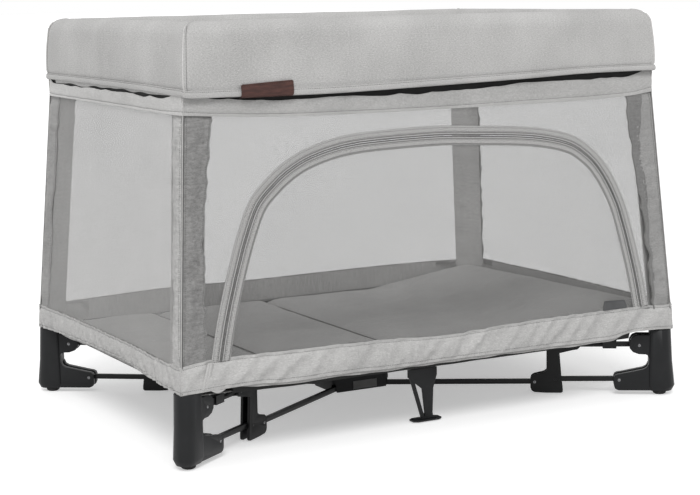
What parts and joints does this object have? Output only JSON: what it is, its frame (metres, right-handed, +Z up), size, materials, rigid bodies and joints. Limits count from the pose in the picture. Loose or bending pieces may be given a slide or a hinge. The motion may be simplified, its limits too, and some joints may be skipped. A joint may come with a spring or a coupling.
{
  "type": "folding playpen",
  "caption": "Portable folding playpen with mesh walls, padded rails, a zip door, a panelled mattress and a folding floor linkage.",
  "frame": {"origin": "on the floor, under the middle of the playpen", "axes": "+X along the long side, +Y across from the zip door to the back, +Z up"},
  "size_m": [1.0398, 0.7252, 0.734],
  "materials": {
    "moulded_plastic": "satin",
    "black_steel": "satin",
    "rubber": "matte",
    "cover_fabric": "matte",
    "mesh_fabric": "matte",
    "pad_fabric": "matte",
    "leather": "satin"
  },
  "bodies": {
    "front_left_leg": {"corner_foot_front_left": "moulded_plastic", "foot_pad_front_left": "rubber", "corner_post_front_left": "black_steel", "corner_cap_front_left": "moulded_plastic", "front_wall": "mesh_fabric", "left_wall": "mesh_fabric", "front_cover": "cover_fabric", "left_cover": "cover_fabric", "leather_tag": "leather"},
    "front_right_leg": {"corner_foot_front_right": "moulded_plastic", "foot_pad_front_right": "rubber", "corner_post_front_right": "black_steel", "corner_cap_front_right": "moulded_plastic", "right_wall": "mesh_fabric", "right_cover": "cover_fabric"},
    "back_left_leg": {"corner_foot_back_left": "moulded_plastic", "foot_pad_back_left": "rubber", "corner_post_back_left": "black_steel", "corner_cap_back_left": "moulded_plastic", "back_wall": "mesh_fabric", "back_cover": "cover_fabric"},
    "back_right_leg": {"corner_foot_back_right": "moulded_plastic", "foot_pad_back_right": "rubber", "corner_post_back_right": "black_steel", "corner_cap_back_right": "moulded_plastic"},
    "outer_rod_front_left": {"outer_rod_front_left": "black_steel"},
    "outer_link_front_left": {"outer_link_front_left": "black_steel"},
    "mid_foot_front_left": {"mid_foot_front_left": "moulded_plastic"},
    "inner_rod_front_left": {"inner_rod_front_left": "black_steel"},
    "long_rail_front_left": {"long_rail_front_left": "black_steel"},
    "short_rail_front_left": {"short_rail_front_left": "black_steel"},
    "outer_rod_front_right": {"outer_rod_front_right": "black_steel"},
    "outer_link_front_right": {"outer_link_front_right": "black_steel"},
    "mid_foot_front_right": {"mid_foot_front_right": "moulded_plastic"},
    "inner_rod_front_right": {"inner_rod_front_right": "black_steel"},
    "long_rail_front_right": {"long_rail_front_right": "black_steel"},
    "short_rail_front_right": {"short_rail_front_right": "black_steel"},
    "outer_rod_back_left": {"outer_rod_back_left": "black_steel"},
    "outer_link_back_left": {"outer_link_back_left": "black_steel"},
    "mid_foot_back_left": {"mid_foot_back_left": "moulded_plastic"},
    "inner_rod_back_left": {"inner_rod_back_left": "black_steel"},
    "long_rail_back_left": {"long_rail_back_left": "black_steel"},
    "short_rail_back_left": {"short_rail_back_left": "black_steel"},
    "outer_rod_back_right": {"outer_rod_back_right": "black_steel"},
    "outer_link_back_right": {"outer_link_back_right": "black_steel"},
    "mid_foot_back_right": {"mid_foot_back_right": "moulded_plastic"},
    "inner_rod_back_right": {"inner_rod_back_right": "black_steel"},
    "long_rail_back_right": {"long_rail_back_right": "black_steel"},
    "short_rail_back_right": {"short_rail_back_right": "black_steel"},
    "hub": {"hub": "moulded_plastic"},
    "latch_front": {"rail_latch_front": "moulded_plastic"},
    "latch_right": {"rail_latch_right": "moulded_plastic"},
    "latch_back": {"rail_latch_back": "moulded_plastic"},
    "latch_left": {"rail_latch_left": "moulded_plastic"},
    "side_arm_front": {"side_arm_front": "black_steel"},
    "support_leg_front": {"support_leg_front": "moulded_plastic"},
    "side_arm_back": {"side_arm_back": "black_steel"},
    "support_leg_back": {"support_leg_back": "moulded_plastic"},
    "door": {"door_flap": "mesh_fabric"},
    "mattress": {"mattress": "pad_fabric"}
  },
  "joints": [
    {"name": "frame_fold", "type": "hinge", "parent": "front_left_leg", "child": "outer_rod_front_left", "pos_m": [-0.42818, -0.29329, 0.029], "axis": [0.5651, -0.825, 0], "range_deg": [0, 88], "deforming": ["front_wall", "back_wall", "left_wall", "right_wall", "front_cover", "back_cover", "left_cover", "right_cover", "door_flap", "leather_tag", "mattress"]},
    {"name": "outer_link_pivot_front_left", "type": "hinge", "parent": "front_left_leg", "child": "outer_link_front_left", "pos_m": [-0.45954, -0.31476, 0.097], "axis": [0.5651, -0.825, 0], "range_deg": [0, 88]},
    {"name": "hub_pivot", "type": "hinge", "parent": "outer_rod_front_left", "child": "hub", "pos_m": [-0.08192, -0.05611, 0.025], "axis": [0.5651, -0.825, 0], "range_deg": [-88, 0]},
    {"name": "inner_rod_pivot_front_left", "type": "hinge", "parent": "hub", "child": "inner_rod_front_left", "pos_m": [-0.0495, -0.03391, 0.02], "axis": [0.5651, -0.825, 0], "range_deg": [0, 88]},
    {"name": "mid_foot_pivot_front_left", "type": "hinge", "parent": "inner_rod_front_left", "child": "mid_foot_front_left", "pos_m": [-0.29511, -0.20214, 0.023], "axis": [0.5651, -0.825, 0], "range_deg": [-88, 0]},
    {"name": "inner_rod_pivot_front_right", "type": "hinge", "parent": "hub", "child": "inner_rod_front_right", "pos_m": [0.0495, -0.03391, 0.02], "axis": [0.5651, 0.825, 0], "range_deg": [0, 88]},
    {"name": "mid_foot_pivot_front_right", "type": "hinge", "parent": "inner_rod_front_right", "child": "mid_foot_front_right", "pos_m": [0.29511, -0.20214, 0.023], "axis": [0.5651, 0.825, 0], "range_deg": [-88, 0]},
    {"name": "leg_pivot_front_right", "type": "hinge", "parent": "inner_rod_front_right", "child": "front_right_leg", "pos_m": [0.39576, -0.27108, 0.024], "axis": [0.5651, 0.825, 0], "range_deg": [-88, 0]},
    {"name": "outer_rod_pivot_front_right", "type": "hinge", "parent": "front_right_leg", "child": "outer_rod_front_right", "pos_m": [0.42818, -0.29329, 0.029], "axis": [0.5651, 0.825, 0], "range_deg": [0, 88]},
    {"name": "outer_link_pivot_front_right", "type": "hinge", "parent": "front_right_leg", "child": "outer_link_front_right", "pos_m": [0.45954, -0.31476, 0.097], "axis": [0.5651, 0.825, 0], "range_deg": [0, 88]},
    {"name": "inner_rod_pivot_back_left", "type": "hinge", "parent": "hub", "child": "inner_rod_back_left", "pos_m": [-0.0495, 0.03391, 0.02], "axis": [-0.5651, -0.825, 0], "range_deg": [0, 88]},
    {"name": "mid_foot_pivot_back_left", "type": "hinge", "parent": "inner_rod_back_left", "child": "mid_foot_back_left", "pos_m": [-0.29511, 0.20214, 0.023], "axis": [-0.5651, -0.825, 0], "range_deg": [-88, 0]},
    {"name": "leg_pivot_back_left", "type": "hinge", "parent": "inner_rod_back_left", "child": "back_left_leg", "pos_m": [-0.39576, 0.27108, 0.024], "axis": [-0.5651, -0.825, 0], "range_deg": [-88, 0]},
    {"name": "outer_rod_pivot_back_left", "type": "hinge", "parent": "back_left_leg", "child": "outer_rod_back_left", "pos_m": [-0.42818, 0.29329, 0.029], "axis": [-0.5651, -0.825, 0], "range_deg": [0, 88]},
    {"name": "outer_link_pivot_back_left", "type": "hinge", "parent": "back_left_leg", "child": "outer_link_back_left", "pos_m": [-0.45954, 0.31476, 0.097], "axis": [-0.5651, -0.825, 0], "range_deg": [0, 88]},
    {"name": "inner_rod_pivot_back_right", "type": "hinge", "parent": "hub", "child": "inner_rod_back_right", "pos_m": [0.0495, 0.03391, 0.02], "axis": [-0.5651, 0.825, 0], "range_deg": [0, 88]},
    {"name": "mid_foot_pivot_back_right", "type": "hinge", "parent": "inner_rod_back_right", "child": "mid_foot_back_right", "pos_m": [0.29511, 0.20214, 0.023], "axis": [-0.5651, 0.825, 0], "range_deg": [-88, 0]},
    {"name": "leg_pivot_back_right", "type": "hinge", "parent": "inner_rod_back_right", "child": "back_right_leg", "pos_m": [0.39576, 0.27108, 0.024], "axis": [-0.5651, 0.825, 0], "range_deg": [-88, 0]},
    {"name": "outer_rod_pivot_back_right", "type": "hinge", "parent": "back_right_leg", "child": "outer_rod_back_right", "pos_m": [0.42818, 0.29329, 0.029], "axis": [-0.5651, 0.825, 0], "range_deg": [0, 88]},
    {"name": "outer_link_pivot_back_right", "type": "hinge", "parent": "back_right_leg", "child": "outer_link_back_right", "pos_m": [0.45954, 0.31476, 0.097], "axis": [-0.5651, 0.825, 0], "range_deg": [0, 88]},
    {"name": "long_rail_pivot_front_left", "type": "hinge", "parent": "front_left_leg", "child": "long_rail_front_left", "pos_m": [-0.407, -0.299, 0.705], "axis": [0, 1, 0], "range_deg": [0, 81.71]},
    {"name": "short_rail_pivot_front_left", "type": "hinge", "parent": "front_left_leg", "child": "short_rail_front_left", "pos_m": [-0.45, -0.254, 0.705], "axis": [-1, 0, 0], "range_deg": [0, 88.25]},
    {"name": "long_rail_pivot_front_right", "type": "hinge", "parent": "front_right_leg", "child": "long_rail_front_right", "pos_m": [0.407, -0.299, 0.705], "axis": [0, -1, 0], "range_deg": [0, 81.71]},
    {"name": "short_rail_pivot_front_right", "type": "hinge", "parent": "front_right_leg", "child": "short_rail_front_right", "pos_m": [0.45, -0.254, 0.705], "axis": [-1, 0, 0], "range_deg": [0, 88.25]},
    {"name": "long_rail_pivot_back_left", "type": "hinge", "parent": "back_left_leg", "child": "long_rail_back_left", "pos_m": [-0.407, 0.299, 0.705], "axis": [0, 1, 0], "range_deg": [0, 81.71]},
    {"name": "short_rail_pivot_back_left", "type": "hinge", "parent": "back_left_leg", "child": "short_rail_back_left", "pos_m": [-0.45, 0.254, 0.705], "axis": [1, 0, 0], "range_deg": [0, 88.25]},
    {"name": "long_rail_pivot_back_right", "type": "hinge", "parent": "back_right_leg", "child": "long_rail_back_right", "pos_m": [0.407, 0.299, 0.705], "axis": [0, -1, 0], "range_deg": [0, 81.71]},
    {"name": "short_rail_pivot_back_right", "type": "hinge", "parent": "back_right_leg", "child": "short_rail_back_right", "pos_m": [0.45, 0.254, 0.705], "axis": [1, 0, 0], "range_deg": [0, 88.25]},
    {"name": "latch_pivot_front", "type": "hinge", "parent": "long_rail_front_left", "child": "latch_front", "pos_m": [-0.02, -0.299, 0.705], "axis": [0, 1, 0], "range_deg": [-81.71, 0]},
    {"name": "latch_pivot_back", "type": "hinge", "parent": "long_rail_back_right", "child": "latch_back", "pos_m": [0.02, 0.299, 0.705], "axis": [0, -1, 0], "range_deg": [-81.71, 0]},
    {"name": "latch_pivot_right", "type": "hinge", "parent": "short_rail_front_right", "child": "latch_right", "pos_m": [0.45, -0.02, 0.705], "axis": [-1, 0, 0], "range_deg": [-88.25, 0]},
    {"name": "latch_pivot_left", "type": "hinge", "parent": "short_rail_back_left", "child": "latch_left", "pos_m": [-0.45, 0.02, 0.705], "axis": [1, 0, 0], "range_deg": [-88.25, 0]},
    {"name": "side_arm_pivot_front", "type": "hinge", "parent": "hub", "child": "side_arm_front", "pos_m": [0, -0.05, 0.092], "axis": [1, 0, 0], "range_deg": [0, 88]},
    {"name": "support_leg_pivot_front", "type": "hinge", "parent": "side_arm_front", "child": "support_leg_front", "pos_m": [0, -0.266, 0.092], "axis": [1, 0, 0], "range_deg": [-88, 0]},
    {"name": "side_arm_pivot_back", "type": "hinge", "parent": "hub", "child": "side_arm_back", "pos_m": [0, 0.05, 0.092], "axis": [-1, 0, 0], "range_deg": [0, 88]},
    {"name": "support_leg_pivot_back", "type": "hinge", "parent": "side_arm_back", "child": "support_leg_back", "pos_m": [0, 0.266, 0.092], "axis": [-1, 0, 0], "range_deg": [-88, 0]},
    {"name": "mattress_lift", "type": "slide", "parent": "hub", "child": "mattress", "axis": [0, 0, 1], "range_m": [0, 0.45]},
    {"name": "door_open", "type": "hinge", "parent": "front_left_leg", "child": "door", "pos_m": [0, -0.3496, 0.178], "axis": [1, 0, 0], "range_deg": [0, 115]}
  ],
  "couplings": [
    {"joint": "outer_link_pivot_front_left", "follows": "frame_fold", "ratio": 1},
    {"joint": "hub_pivot", "follows": "frame_fold", "ratio": -1},
    {"joint": "inner_rod_pivot_front_left", "follows": "frame_fold", "ratio": 1},
    {"joint": "mid_foot_pivot_front_left", "follows": "frame_fold", "ratio": -1},
    {"joint": "inner_rod_pivot_front_right", "follows": "frame_fold", "ratio": 1},
    {"joint": "mid_foot_pivot_front_right", "follows": "frame_fold", "ratio": -1},
    {"joint": "leg_pivot_front_right", "follows": "frame_fold", "ratio": -1},
    {"joint": "outer_rod_pivot_front_right", "follows": "frame_fold", "ratio": 1},
    {"joint": "outer_link_pivot_front_right", "follows": "frame_fold", "ratio": 1},
    {"joint": "inner_rod_pivot_back_left", "follows": "frame_fold", "ratio": 1},
    {"joint": "mid_foot_pivot_back_left", "follows": "frame_fold", "ratio": -1},
    {"joint": "leg_pivot_back_left", "follows": "frame_fold", "ratio": -1},
    {"joint": "outer_rod_pivot_back_left", "follows": "frame_fold", "ratio": 1},
    {"joint": "outer_link_pivot_back_left", "follows": "frame_fold", "ratio": 1},
    {"joint": "inner_rod_pivot_back_right", "follows": "frame_fold", "ratio": 1},
    {"joint": "mid_foot_pivot_back_right", "follows": "frame_fold", "ratio": -1},
    {"joint": "leg_pivot_back_right", "follows": "frame_fold", "ratio": -1},
    {"joint": "outer_rod_pivot_back_right", "follows": "frame_fold", "ratio": 1},
    {"joint": "outer_link_pivot_back_right", "follows": "frame_fold", "ratio": 1},
    {"joint": "long_rail_pivot_front_left", "follows": "frame_fold", "ratio": 0.92797},
    {"joint": "short_rail_pivot_front_left", "follows": "frame_fold", "ratio": 1.0022},
    {"joint": "long_rail_pivot_front_right", "follows": "frame_fold", "ratio": 0.92797},
    {"joint": "short_rail_pivot_front_right", "follows": "frame_fold", "ratio": 1.0022},
    {"joint": "long_rail_pivot_back_left", "follows": "frame_fold", "ratio": 0.92797},
    {"joint": "short_rail_pivot_back_left", "follows": "frame_fold", "ratio": 1.0022},
    {"joint": "long_rail_pivot_back_right", "follows": "frame_fold", "ratio": 0.92797},
    {"joint": "short_rail_pivot_back_right", "follows": "frame_fold", "ratio": 1.0022},
    {"joint": "latch_pivot_front", "follows": "frame_fold", "ratio": -0.92797},
    {"joint": "latch_pivot_back", "follows": "frame_fold", "ratio": -0.92797},
    {"joint": "latch_pivot_right", "follows": "frame_fold", "ratio": -1.0022},
    {"joint": "latch_pivot_left", "follows": "frame_fold", "ratio": -1.0022},
    {"joint": "side_arm_pivot_front", "follows": "frame_fold", "ratio": 1},
    {"joint": "support_leg_pivot_front", "follows": "frame_fold", "ratio": -1},
    {"joint": "side_arm_pivot_back", "follows": "frame_fold", "ratio": 1},
    {"joint": "support_leg_pivot_back", "follows": "frame_fold", "ratio": -1},
    {"joint": "mattress_lift", "follows": "frame_fold", "m_per_rad": 0.29292}
  ]
}
